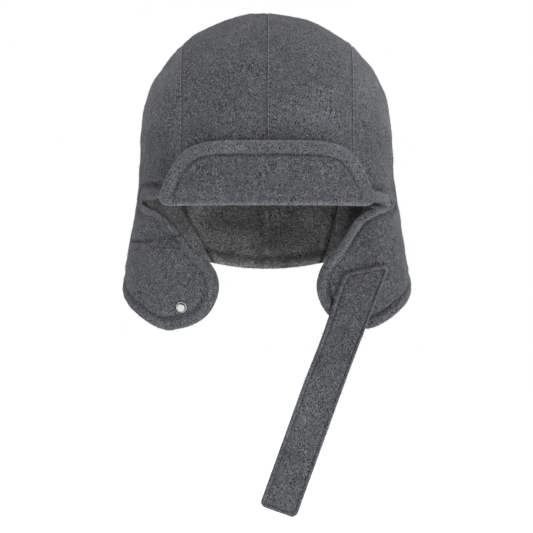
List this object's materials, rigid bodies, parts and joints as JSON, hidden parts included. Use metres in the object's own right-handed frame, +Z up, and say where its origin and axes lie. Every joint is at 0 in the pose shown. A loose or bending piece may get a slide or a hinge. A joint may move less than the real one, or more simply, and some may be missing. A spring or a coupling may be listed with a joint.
{
  "type": "baby hat with ear flaps",
  "caption": "Baby's lined fleece hat with a padded turned-up peak, two ear flaps, a long chin strap sewn to one flap and a snap stud on the other.",
  "frame": {"origin": "inside top centre of the lining, where the hat sits on the head", "axes": "+Z up, the face opening looks along -Y, +X to the right as seen from the front"},
  "size_m": [0.187, 0.1971, 0.3227],
  "materials": {
    "shell_fleece": "brushed grey melange fleece",
    "lining_fleece": "short curly fleece, dark warm grey",
    "snap_metal": "polished nickel"
  },
  "bodies": {
    "root": {"crown_panel_left": "shell_fleece", "crown_panel_right": "shell_fleece", "side_panel_left": "shell_fleece", "side_panel_right": "shell_fleece", "lining_centre_left": "lining_fleece", "lining_centre_right": "lining_fleece", "lining_side_left": "lining_fleece", "lining_side_right": "lining_fleece", "peak": "shell_fleece", "chin_strap": "shell_fleece", "snap_stud": "snap_metal", "snap_socket": "snap_metal"}
  },
  "joints": []
}
